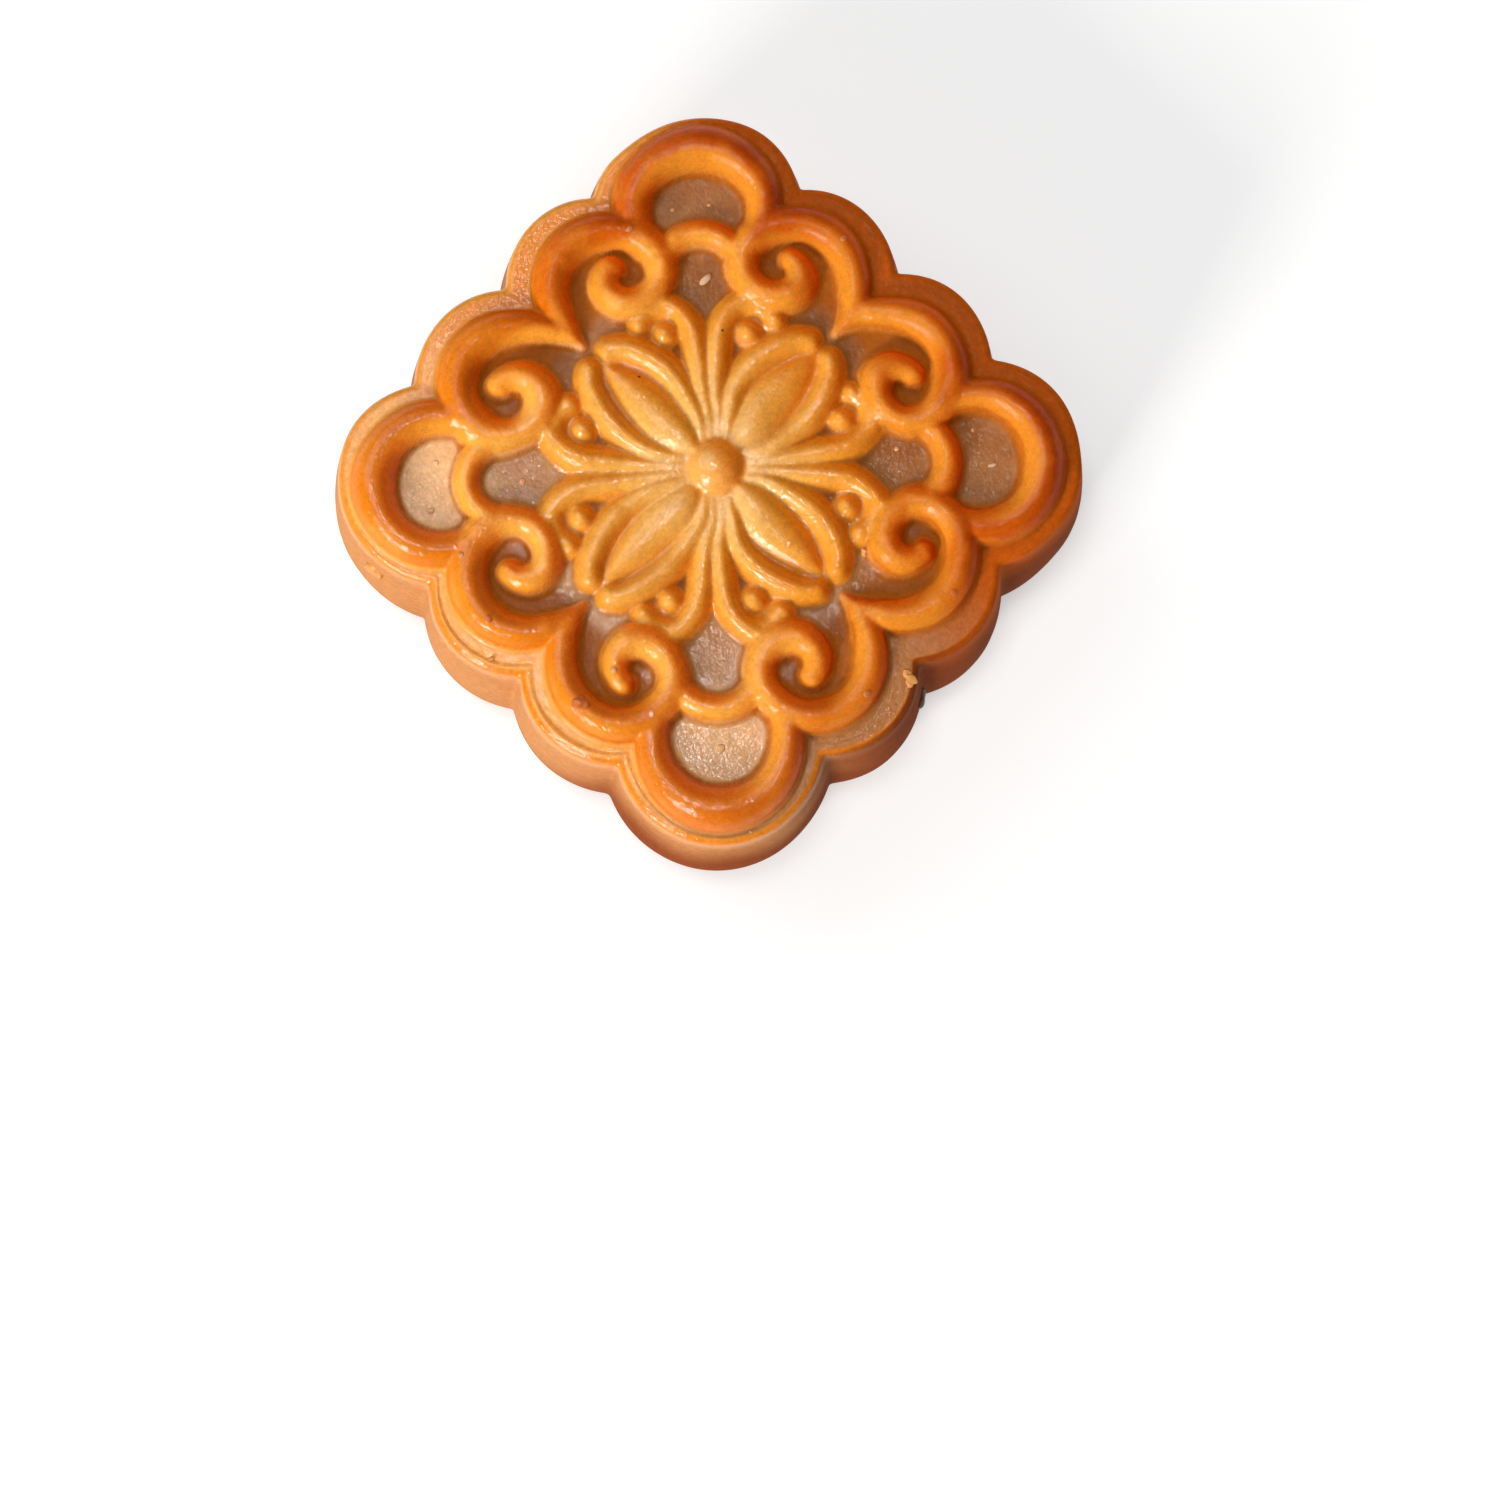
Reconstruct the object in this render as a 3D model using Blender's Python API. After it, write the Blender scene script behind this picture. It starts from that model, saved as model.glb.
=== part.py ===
"""A square baked mooncake with lobed sides. A raised scroll and flower pattern stands on its face.

The cake lies on its flat base, centred on the origin. The pattern has the symmetry of a square: each ridge
is described once, beside the +X axis, and repeated by quarter turns and by mirroring.
"""

import math

import bmesh
import bpy
from mathutils import Vector

MM = 0.001

# Body: the lobed outline is measured at the ledge, the flat rim round the pattern
LEDGE_HEIGHT = 27.0 * MM
SIDE_LOBE_CENTRE = Vector((21.5, 6.6)) * MM
SIDE_LOBE_RADIUS = 10.5 * MM
CORNER_LOBE_CENTRE = Vector((19.9, 19.9)) * MM
CORNER_LOBE_RADIUS = 11.5 * MM
LOBE_SEGMENTS = 9
WALL_BULGE = 1.65 * MM
BULGE_LOWERING = 2 / 3
BASE_ROUND = 2.2 * MM
LEDGE_ROUND = 0.9 * MM
BASE_STEPS = 3
WALL_STEPS = 4
LEDGE_STEPS = 2

# Ridges: chains of arcs, each arc a radius and a turn in degrees, left turns positive.
# Widths are stations of (share of the ridge's length, half width in millimetres).
RIDGE_SINK = 0.25 * MM
RIDGE_RISE = 1.4
ARC_STEP = 1.6 * MM
ARC_TURN = math.radians(26)
TIP_STEPS = 2
BROAD_RESOLUTION = 3
SLIM_RESOLUTION = 2
WELD_DISTANCE = 0.001 * MM

SCROLL_START = Vector((19.5, 0.1)) * MM
SCROLL_HEADING = -3.0
SCROLL_ARCS = ((7.8 * MM, 67.0), (6.2 * MM, 124.0), (3.8 * MM, 125.0), (2.4 * MM, 138.0))
SCROLL_WIDTHS = ((0.0, 0.5), (0.05, 1.2), (0.12, 1.8), (0.3, 2.25), (0.55, 2.15), (0.85, 1.9), (1.0, 1.45))

CORNER_RIDGE_CENTRE = Vector((20.4, 20.4)) * MM
CORNER_RIDGE_RADIUS = 7.1 * MM
CORNER_RIDGE_SPAN = 222.0
CORNER_RIDGE_WIDTHS = ((0.0, 1.8), (0.2, 2.15), (0.5, 2.4), (0.8, 2.15), (1.0, 1.8))

SMALL_ARCH_CENTRE = Vector((14.9, 14.9)) * MM
SMALL_ARCH_RADIUS = 4.35 * MM
SMALL_ARCH_SPAN = 110.0
SMALL_ARCH_WIDTHS = ((0.0, 1.6), (1.0, 1.6))

# Flower: four pointed petals with rims, eight stems, eight beads and a dome
PETAL_START = Vector((3.2, 0.0)) * MM
PETAL_LENGTH = 14.0 * MM
PETAL_HALF_WIDTH = 2.55 * MM
PETAL_RISE = 0.85
PETAL_POINTING = 0.85
PETAL_TIP_WIDTH = 0.1 * MM
PETAL_STATIONS = 12

RIM_START = Vector((2.9, 1.05)) * MM
RIM_HEADING = 44.0
RIM_ARCS = ((10.8 * MM, -45.0), (11.6 * MM, -36.0))
RIM_WIDTHS = ((0.0, 0.6), (0.25, 1.0), (0.55, 1.4), (0.8, 1.5), (1.0, 1.4))

STEM_START = Vector((2.35, 1.75)) * MM
STEM_HEADING = 43.0
STEM_ARCS = ((107.5 * MM, -5.5), (5.9 * MM, -63.0))
STEM_WIDTHS = ((0.0, 0.5), (0.3, 0.95), (0.6, 1.2), (0.8, 1.0), (1.0, 1.1))

HOOK_START = Vector((17.0, 7.6)) * MM
HOOK_HEADING = 242.0
HOOK_ARCS = ((4.0 * MM, 25.0),)
HOOK_WIDTHS = ((0.0, 1.4), (1.0, 1.1))

BEAD_CENTRE = Vector((13.15, 6.75)) * MM
BEAD_RADIUS = 1.45 * MM
BEAD_RISE = 1.15
BEAD_SEGMENTS = 10
DOME_RADIUS = 3.0 * MM
DOME_RISE = 0.9
DOME_SEGMENTS = 20
HUB_RADIUS = 9.0 * MM
HUB_RISE = 0.14
HUB_SEGMENTS = 24

CRUST_COLOUR = (0.56, 0.24, 0.06, 1.0)
CRUST_ROUGHNESS = 0.42
CREASE_ANGLE = math.radians(40)


def clear_scene():
    for old in list(bpy.data.objects):
        bpy.data.objects.remove(old)


def new_collection(name):
    collection = bpy.data.collections.new(name)
    bpy.context.scene.collection.children.link(collection)
    return collection


def crust_material():
    material = bpy.data.materials.new("baked_crust")
    material.use_nodes = True
    shader = material.node_tree.nodes["Principled BSDF"]
    shader.inputs["Base Color"].default_value = CRUST_COLOUR
    shader.inputs["Roughness"].default_value = CRUST_ROUGHNESS
    shader.inputs["Metallic"].default_value = 0.0
    return material


def quarter_turned(point, quarter):
    """The flat point turned about the cake's centre by that many quarter turns."""
    x, y = point
    for _ in range(quarter % 4):
        x, y = -y, x
    return Vector((x, y))


def outer_meeting(centre_a, radius_a, centre_b, radius_b):
    """Where two lobe circles cross, on the side away from the cake's centre."""
    between = centre_b - centre_a
    distance = between.length
    along = (distance**2 + radius_a**2 - radius_b**2) / (2 * distance)
    across = math.sqrt(radius_a**2 - along**2)
    foot = centre_a + between * (along / distance)
    side = Vector((between.y, -between.x)) * (across / distance)
    return max(foot + side, foot - side, key=lambda point: point.length)


def lobes():
    """Centre and radius of each lobe, counterclockwise from the +X axis."""
    mirrored_centre = SIDE_LOBE_CENTRE.yx
    quarter = (
        (SIDE_LOBE_CENTRE, SIDE_LOBE_RADIUS),
        (CORNER_LOBE_CENTRE, CORNER_LOBE_RADIUS),
        (mirrored_centre, SIDE_LOBE_RADIUS),
    )
    return [(quarter_turned(centre, turn), radius) for turn in range(4) for centre, radius in quarter]


def outline(offset):
    """The lobed outline moved outwards by the offset."""
    circles = [(centre, radius + offset) for centre, radius in lobes()]
    notches = [outer_meeting(*circles[i - 1], *circles[i]) for i in range(len(circles))]
    points = []
    for index, (centre, radius) in enumerate(circles):
        first = notches[index] - centre
        last = notches[(index + 1) % len(circles)] - centre
        start = math.atan2(first.y, first.x)
        sweep = (math.atan2(last.y, last.x) - start) % (2 * math.pi)
        for step in range(LOBE_SEGMENTS):
            angle = start + sweep * step / LOBE_SEGMENTS
            points.append(centre + Vector((math.cos(angle), math.sin(angle))) * radius)
    return points


def wall_swell(height):
    """How far the soft wall bulges out at a height. It is widest about a third of the way up."""
    return WALL_BULGE * math.sin(math.pi * (height / LEDGE_HEIGHT) ** BULGE_LOWERING)


def wall_profile():
    """Height and outward offset of each level of the wall, from the base up to the ledge."""
    levels = []
    for step in range(BASE_STEPS + 1):
        turn = math.pi / 2 * step / BASE_STEPS
        levels.append((BASE_ROUND * (1 - math.cos(turn)), BASE_ROUND * (math.sin(turn) - 1)))
    wall_top = LEDGE_HEIGHT - LEDGE_ROUND
    for step in range(1, WALL_STEPS):
        levels.append((BASE_ROUND + (wall_top - BASE_ROUND) * step / WALL_STEPS, 0.0))
    for step in range(LEDGE_STEPS + 1):
        turn = math.pi / 2 * step / LEDGE_STEPS
        levels.append((wall_top + LEDGE_ROUND * math.sin(turn), LEDGE_ROUND * (math.cos(turn) - 1)))
    return [(height, offset + wall_swell(height)) for height, offset in levels]


def make_body(collection):
    """The cake's body: a loft through the outlines of the wall, closed by the base and the ledge."""
    shape = bmesh.new()
    rings = []
    for height, offset in wall_profile():
        rings.append([shape.verts.new((point.x, point.y, height)) for point in outline(offset)])
    count = len(rings[0])
    for lower, upper in zip(rings, rings[1:]):
        for i in range(count):
            after = (i + 1) % count
            shape.faces.new((lower[i], lower[after], upper[after], upper[i]))
    shape.faces.new(list(reversed(rings[0])))
    shape.faces.new(rings[-1])
    mesh = bpy.data.meshes.new("mooncake")
    shape.to_mesh(mesh)
    shape.free()
    body = bpy.data.objects.new("mooncake", mesh)
    collection.objects.link(body)
    return body


def arc_chain(start, heading, arcs):
    """Points along arcs that follow each other smoothly from the start point and heading."""
    points = [Vector(start)]
    direction = math.radians(heading)
    for radius, turn in arcs:
        sweep = math.radians(turn)
        steps = max(2, round(abs(sweep) * radius / ARC_STEP), round(abs(sweep) / ARC_TURN))
        chord = 2 * radius * math.sin(abs(sweep) / steps / 2)
        for _ in range(steps):
            middle = direction + sweep / steps / 2
            points.append(points[-1] + Vector((math.cos(middle), math.sin(middle))) * chord)
            direction += sweep / steps
    return points


def centred_arc(centre, radius, span):
    """Points along an arc that is symmetrical about the diagonal."""
    steps = max(4, round(math.radians(span) * radius / ARC_STEP))
    angles = [math.radians(45 + span * (step / steps - 0.5)) for step in range(steps + 1)]
    return [centre + Vector((math.cos(angle), math.sin(angle))) * radius for angle in angles]


def widths_along(points, stations):
    """Half width at each point, from stations of (share of the length, half width in millimetres)."""
    lengths = [0.0]
    for before, after in zip(points, points[1:]):
        lengths.append(lengths[-1] + (after - before).length)
    widths = []
    for length in lengths:
        share = length / lengths[-1]
        for (low, low_width), (high, high_width) in zip(stations, stations[1:]):
            if share <= high:
                part = (share - low) / (high - low)
                break
        widths.append((low_width + (high_width - low_width) * part) * MM)
    return widths


def with_round_tip(points, widths):
    """The ridge with a half-round tip added beyond its last point."""
    direction = (points[-1] - points[-2]).normalized()
    tip_points = []
    tip_widths = []
    for step in range(1, TIP_STEPS + 1):
        turn = math.pi / 2 * step / (TIP_STEPS + 0.5)
        tip_points.append(points[-1] + direction * widths[-1] * math.sin(turn))
        tip_widths.append(widths[-1] * math.cos(turn))
    return points + tip_points, widths + tip_widths


def ridge(name, points, widths, rise, resolution, collection):
    """A tube half sunk in the ledge plane, as wide as its points say and stretched upwards by the rise."""
    curve = bpy.data.curves.new(name, "CURVE")
    curve.dimensions = "3D"
    curve.bevel_depth = MM
    curve.bevel_resolution = resolution
    curve.use_fill_caps = True
    spline = curve.splines.new("POLY")
    spline.points.add(len(points) - 1)
    for control, point, width in zip(spline.points, points, widths):
        control.co = (point.x, point.y, 0.0, 1.0)
        control.radius = width / curve.bevel_depth
    guide = bpy.data.objects.new(name, curve)
    guide.location.z = LEDGE_HEIGHT - RIDGE_SINK
    guide.scale.z = rise
    collection.objects.link(guide)
    bpy.context.view_layer.update()
    graph = bpy.context.evaluated_depsgraph_get()
    mesh = bpy.data.meshes.new_from_object(guide.evaluated_get(graph))
    shape = bmesh.new()
    shape.from_mesh(mesh)
    bmesh.ops.remove_doubles(shape, verts=shape.verts, dist=WELD_DISTANCE)
    bmesh.ops.recalc_face_normals(shape, faces=shape.faces)
    shape.to_mesh(mesh)
    shape.free()
    solid = bpy.data.objects.new(name, mesh)
    solid.matrix_world = guide.matrix_world
    bpy.data.objects.remove(guide)
    collection.objects.link(solid)


def mound(name, centre, radius, rise, segments, collection):
    """A round mound, the upper part of a flattened sphere."""
    shape = bmesh.new()
    bmesh.ops.create_uvsphere(shape, u_segments=segments, v_segments=segments * 3 // 4, radius=radius)
    bmesh.ops.scale(shape, vec=(1.0, 1.0, rise), verts=shape.verts)
    bmesh.ops.translate(shape, vec=(centre.x, centre.y, LEDGE_HEIGHT - RIDGE_SINK), verts=shape.verts)
    mesh = bpy.data.meshes.new(name)
    shape.to_mesh(mesh)
    shape.free()
    collection.objects.link(bpy.data.objects.new(name, mesh))


def eightfold(points):
    """The eight images of a line under the symmetry of the square."""
    images = []
    for turn in range(4):
        images.append([quarter_turned(point, turn) for point in points])
        images.append([quarter_turned((point.x, -point.y), turn) for point in points])
    return images


def fourfold(points):
    """The four images of a line under quarter turns."""
    return [[quarter_turned(point, turn) for point in points] for turn in range(4)]


def make_scrolls(collection):
    points = arc_chain(SCROLL_START, SCROLL_HEADING, SCROLL_ARCS)
    points, widths = with_round_tip(points, widths_along(points, SCROLL_WIDTHS))
    for image in eightfold(points):
        ridge("scroll", image, widths, RIDGE_RISE, BROAD_RESOLUTION, collection)


def make_corners(collection):
    points = centred_arc(CORNER_RIDGE_CENTRE, CORNER_RIDGE_RADIUS, CORNER_RIDGE_SPAN)
    widths = widths_along(points, CORNER_RIDGE_WIDTHS)
    for image in fourfold(points):
        ridge("corner_ridge", image, widths, RIDGE_RISE, BROAD_RESOLUTION, collection)
    points = centred_arc(SMALL_ARCH_CENTRE, SMALL_ARCH_RADIUS, SMALL_ARCH_SPAN)
    widths = widths_along(points, SMALL_ARCH_WIDTHS)
    for image in fourfold(points):
        ridge("small_arch", image, widths, RIDGE_RISE, SLIM_RESOLUTION, collection)


def petal_outline():
    """Middle line and half widths of a petal, a leaf shape that is pointed at both ends."""
    points = []
    widths = []
    for station in range(PETAL_STATIONS + 1):
        share = station / PETAL_STATIONS
        points.append(PETAL_START + Vector((PETAL_LENGTH * share, 0.0)))
        widths.append(max(PETAL_HALF_WIDTH * math.sin(math.pi * share) ** PETAL_POINTING, PETAL_TIP_WIDTH))
    return points, widths


def make_flower(collection):
    points, widths = petal_outline()
    for image in fourfold(points):
        ridge("petal", image, widths, PETAL_RISE, BROAD_RESOLUTION, collection)
    points = arc_chain(RIM_START, RIM_HEADING, RIM_ARCS)
    points, widths = with_round_tip(points, widths_along(points, RIM_WIDTHS))
    for image in eightfold(points):
        ridge("petal_rim", image, widths, RIDGE_RISE, SLIM_RESOLUTION, collection)
    points = arc_chain(STEM_START, STEM_HEADING, STEM_ARCS)
    widths = widths_along(points, STEM_WIDTHS)
    for image in eightfold(points):
        ridge("stem", image, widths, RIDGE_RISE, SLIM_RESOLUTION, collection)
    points = arc_chain(HOOK_START, HOOK_HEADING, HOOK_ARCS)
    points, widths = with_round_tip(points, widths_along(points, HOOK_WIDTHS))
    for image in eightfold(points):
        ridge("hook", image, widths, RIDGE_RISE, SLIM_RESOLUTION, collection)
    for image in eightfold([BEAD_CENTRE]):
        mound("bead", image[0], BEAD_RADIUS, BEAD_RISE, BEAD_SEGMENTS, collection)
    mound("hub", Vector((0.0, 0.0)), HUB_RADIUS, HUB_RISE, HUB_SEGMENTS, collection)
    mound("dome", Vector((0.0, 0.0)), DOME_RADIUS, DOME_RISE, DOME_SEGMENTS, collection)


def join_relief(body, collection):
    """Joins the relief to the body with one Boolean union, and removes the separate shapes."""
    union = body.modifiers.new("relief", "BOOLEAN")
    union.operation = "UNION"
    union.operand_type = "COLLECTION"
    union.collection = collection
    bpy.context.view_layer.objects.active = body
    bpy.ops.object.modifier_apply(modifier=union.name)
    for shape in list(collection.objects):
        bpy.data.objects.remove(shape)
    bpy.data.collections.remove(collection)


def finish_body(body):
    body.data.materials.clear()
    body.data.materials.append(crust_material())
    body.data.shade_smooth()
    body.data.set_sharp_from_angle(angle=CREASE_ANGLE)


def main():
    clear_scene()
    cake = new_collection("square_mooncake")
    relief = new_collection("relief")
    body = make_body(cake)
    make_scrolls(relief)
    make_corners(relief)
    make_flower(relief)
    join_relief(body, relief)
    finish_body(body)


main()
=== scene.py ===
"""A square moulded mooncake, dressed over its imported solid: its glazed crust, crumbs and seeds, and a studio.

The file is laid out as an add-on and run as a script. Lengths in the shape code are millimetres, and
finished meshes are metres. The pattern on the face has a square's symmetry, so each ridge is described once,
beside the +X axis, and every point of the face is folded into that part before its height is worked out.
"""

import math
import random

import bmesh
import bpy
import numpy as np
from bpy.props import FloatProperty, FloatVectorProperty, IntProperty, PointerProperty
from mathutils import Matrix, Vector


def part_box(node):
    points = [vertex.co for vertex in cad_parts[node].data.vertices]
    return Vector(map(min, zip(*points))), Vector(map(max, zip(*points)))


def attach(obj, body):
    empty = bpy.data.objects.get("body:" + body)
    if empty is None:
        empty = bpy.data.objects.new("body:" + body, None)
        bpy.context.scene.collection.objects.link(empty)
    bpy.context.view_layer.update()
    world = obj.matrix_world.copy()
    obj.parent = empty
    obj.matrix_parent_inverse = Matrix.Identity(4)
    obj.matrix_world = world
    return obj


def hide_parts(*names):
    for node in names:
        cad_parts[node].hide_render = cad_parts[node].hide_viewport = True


bl_info = {
    "name": "Moulded Mooncake",
    "version": (1, 0, 0),
    "blender": (4, 5, 0),
    "location": "3D View > Sidebar > Mooncake",
    "description": "Makes a moulded mooncake's baked crust, crumbs and seeds, and a plain studio round it",
    "category": "Add Mesh",
}

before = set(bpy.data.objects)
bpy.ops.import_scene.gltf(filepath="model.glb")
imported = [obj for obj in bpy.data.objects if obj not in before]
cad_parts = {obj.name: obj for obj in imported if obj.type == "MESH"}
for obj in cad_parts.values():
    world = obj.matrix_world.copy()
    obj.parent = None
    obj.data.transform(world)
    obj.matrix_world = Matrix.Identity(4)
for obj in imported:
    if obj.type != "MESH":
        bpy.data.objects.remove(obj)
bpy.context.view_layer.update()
CAKE_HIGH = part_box("mooncake")[1]

MM = 0.001
NEAR_NOTHING = 1e-9
WHITE = (1.0, 1.0, 1.0)
WALL_BULGE = 1.65
RELIEF_TOP = 2.91
LEDGE_HEIGHT = round(CAKE_HIGH[2] / MM - RELIEF_TOP, 1)

# Body: the lobed outline at the ledge, from circles at the corners and beside the middles of the sides
SIDE_LOBE_CENTRE = (22.5, 6.9)
SIDE_LOBE_RADIUS = 9.8
CORNER_LOBE_CENTRE = (20.25, 20.25)
CORNER_LOBE_RADIUS = 11.0
BULGE_LOWERING = 2 / 3
BASE_ROUND = 2.2
EDGE_ROUND = 0.75
LEDGE_RINGS = (-1.48, -1.36, -1.24, -1.12, -1.0, -0.88, -0.76)
GRID_INSET = 1.6
NOTCH_SOFTENING = 5
BASE_RING_SHARE = 0.8
EDGE_STEPS = 6
BASE_STEPS = 5
SIDE_CELLS_SHARE = 0.48
EASING = 0.5

# Ridges: chains of arcs, each a radius and a turn in degrees, left turns positive.
# Widths are stations of (share of the ridge's length, half width).
RIDGE_SINK = 0.25
RIDGE_RISE = 1.32
FLOWER_RISE = 1.3
STEEPEST_SHARE = 0.87
FOOT_SHARE = 0.95

SCROLL = {
    "start": (19.5, 0.1), "heading": -3.0,
    "arcs": ((7.8, 67.0), (6.2, 124.0), (3.8, 125.0), (2.4, 138.0)),
    "widths": (
        (0.0, 0.5), (0.05, 1.2), (0.12, 1.8), (0.3, 2.2), (0.45, 2.15), (0.6, 2.0), (0.72, 1.7), (0.8, 1.8),
        (0.87, 1.95), (0.94, 1.8), (1.0, 1.55)),
}
SCROLL_MIDDLE = (19.2, 6.3)
SCROLL_REACH = 7.0
CORNER_RIDGE = {
    "centre": (20.4, 20.4), "radius": 7.1, "span": 222.0,
    "widths": ((0.0, 1.8), (0.2, 2.15), (0.5, 2.4), (0.8, 2.15), (1.0, 1.8)),
}
SMALL_ARCH = {"centre": (14.9, 14.9), "radius": 4.35, "span": 110.0, "widths": ((0.0, 1.6), (1.0, 1.6))}
PETAL_RIM = {
    "start": (2.9, 1.05), "heading": 44.0,
    "arcs": ((10.8, -45.0), (11.6, -24.0), (4.0, -32.0)),
    "widths": ((0.0, 0.65), (0.25, 1.25), (0.55, 1.6), (0.8, 1.62), (1.0, 1.45)),
}
STEM = {
    "start": (2.35, 1.75), "heading": 43.0,
    "arcs": ((107.5, -5.5), (5.9, -63.0)),
    "widths": ((0.0, 0.6), (0.2, 1.0), (0.35, 1.35), (0.5, 1.5), (0.7, 1.5), (0.85, 1.35), (1.0, 1.25)),
}
HOOK = {
    "start": (14.9, 9.15), "heading": -40.0, "arcs": ((3.3, -48.0), (12.0, -5.0)),
    "widths": ((0.0, 1.15), (0.55, 1.05), (1.0, 1.25)),
}
PETAL_START = 2.0
PETAL_LENGTH = 15.3
PETAL_HALF_WIDTH = 2.6
PETAL_HEIGHT = 2.0
PETAL_POINTING = 0.9
PETAL_SKEW = 0.85
PETAL_SLOPE = 0.55
BEAD_CENTRE = (13.15, 6.75)
BEAD_RADIUS = 1.42
BEAD_RISE = 1.25
DOME_RADIUS = 3.6
DOME_RISE = 0.96
HUB_RADIUS = 10.5
HUB_HEIGHT = 0.85
BED_HEIGHT = 0.5
BED_REACH = 0.45
FLOOR_DEPTH = 0.2

# Where parts of the pattern sit beside their even places, as the soft dough slipped in the mould, and how
# full their ridges are: (place, slip, fullness)
SLIPS = (
    ((0.0, 0.0), (0.96, -0.13), 1.0), ((17.2, 0.0), (1.0, 0.4), 1.0), ((0.0, 17.2), (0.9, -0.24), 1.0),
    ((-17.2, 0.0), (0.1, 0.39), 1.0), ((0.0, -17.2), (0.2, 0.0), 1.0), ((13.1, 6.7), (0.83, 0.5), 1.0),
    ((13.1, -6.7), (0.88, 0.26), 1.0), ((-6.7, 13.1), (1.19, -0.17), 1.0), ((6.7, 13.1), (1.11, 0.53), 1.0),
    ((-13.1, -6.7), (0.33, 0.51), 1.0), ((-13.1, 6.7), (0.46, -0.03), 1.0),
    ((6.7, -13.1), (0.51, -0.17), 1.0), ((-6.7, -13.1), (0.18, 0.45), 1.0), ((21.0, 9.0), (0.9, 0.5), 1.12),
    ((21.0, -9.0), (0.45, 0.0), 1.1), ((-9.0, 21.0), (0.8, 0.5), 1.1), ((9.0, 21.0), (0.6, 0.4), 1.12),
    ((-21.0, -9.0), (-0.45, 0.3), 1.02), ((-21.0, 9.0), (0.15, -0.35), 1.0),
    ((9.0, -21.0), (0.8, -0.2), 1.06), ((-9.0, -21.0), (0.0, -0.35), 1.04), ((27.5, 9.0), (0.1, 0.0), 1.03),
    ((27.5, -9.0), (0.1, 0.0), 1.03), ((-9.0, 27.5), (0.0, 0.2), 1.02), ((9.0, 27.5), (0.0, 0.0), 1.03),
    ((-27.5, -9.0), (0.0, 0.0), 1.0), ((-27.5, 9.0), (0.0, 0.0), 1.0), ((9.0, -27.5), (0.0, 0.0), 1.0),
    ((-9.0, -27.5), (0.0, 0.0), 1.0), ((26.0, 26.0), (-0.6, -0.6), 1.16),
    ((26.0, -26.0), (-0.1, 0.1), 1.06), ((-26.0, 26.0), (0.0, 0.0), 1.03),
    ((-26.0, -26.0), (0.0, 0.0), 1.06), ((18.0, 18.0), (0.6, 0.2), 1.05), ((-18.0, 18.0), (-0.2, 0.4), 1.0),
    ((-18.0, -18.0), (0.06, 0.16), 1.0), ((18.0, -18.0), (0.5, 0.3), 1.05),
)
SLIP_REACH = 3.2
STILL_WEIGHT = 0.02

# Where the body's outline strays from the even lobes: (place, slip)
BODY_SLIPS = (
    ((29.0, 29.0), (-0.7, -0.7)), ((30.0, 17.8), (0.2, -0.2)), ((32.5, -8.0), (0.35, 0.0)),
    ((32.5, 8.0), (0.1, 0.0)), ((8.0, 32.5), (0.0, 0.1)), ((-8.0, 32.5), (0.0, 0.1)),
    ((31.0, -20.5), (0.7, 0.2)), ((29.0, -29.0), (0.2, -0.3)), ((15.0, -32.5), (0.0, 0.3)),
    ((8.0, -32.5), (0.0, -0.6)), ((-8.0, -32.5), (0.0, -0.6)), ((-18.0, -32.0), (0.1, 0.1)),
    ((-32.5, -8.0), (-0.1, 0.0)), ((-32.5, 6.0), (0.1, 0.0)), ((-33.0, 17.0), (0.6, 0.0)),
    ((-29.0, 29.0), (0.25, -0.1)), ((-21.0, 32.0), (-0.1, 0.5)),
)
BODY_SLIP_REACH = 5.0

# Blisters in the glaze: (place, width, browning)
BLISTERS = (
    ((-27.5, 6.4), 0.9, 0.9), ((-27.4, -6.7), 1.7, 0.9), ((-24.5, 13.3), 0.8, 0.7),
    ((7.9, -28.1), 0.8, 0.9), ((-6.2, -28.2), 0.85, 0.8), ((-22.4, -6.9), 0.75, 0.5),
    ((13.6, 23.7), 0.8, 0.8), ((28.1, 6.3), 0.8, 0.8), ((-18.7, 22.4), 0.7, 0.0),
    ((-23.0, 19.2), 0.8, 0.15), ((-14.0, 14.0), 0.8, 0.3), ((-20.9, -20.9), 1.05, 0.15),
    ((21.7, 19.7), 0.5, 0.4), ((18.6, 22.2), 0.6, 0.4), ((15.6, -13.0), 0.6, 0.4),
    ((22.7, -17.5), 0.45, 0.4),
)
# Sesame seeds: (place, length, heading of the long side in degrees, darkness)
SEEDS = (
    ((15.3, 14.4), 1.6, 42.5, 0.05),
    ((21.3, -21.5), 1.0, -47.5, 0.25),
)
# Crumbs: (place, size, darkness). The first three are dough, the others are specks.
FACE_CRUMBS = (
    ((5.2, -17.8), (0.9, 0.6, 0.5), 0.05),
    ((-1.7, -30.4), (1.7, 1.1, 0.3), 0.0),
    ((-30.2, 3.5), (0.6, 0.5, 0.3), 0.0),
    ((2.6, 12.5), (0.3, 0.25, 0.15), 1.0),
    ((12.1, 9.2), (0.28, 0.22, 0.15), 1.0),
)
WALL_CRUMBS = (
    ((-31.3, 20.0, 21.5), (2.2, 1.6, 1.4), 0.0),
    ((-1.3, -32.5, 17.0), (2.2, 1.8, 1.4), 0.95),
)

# How softly two forms run into each other
FOOT_BLEND = 0.35
JOINT_BLEND = 0.6
CREASE_BLEND = 0.12

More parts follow.
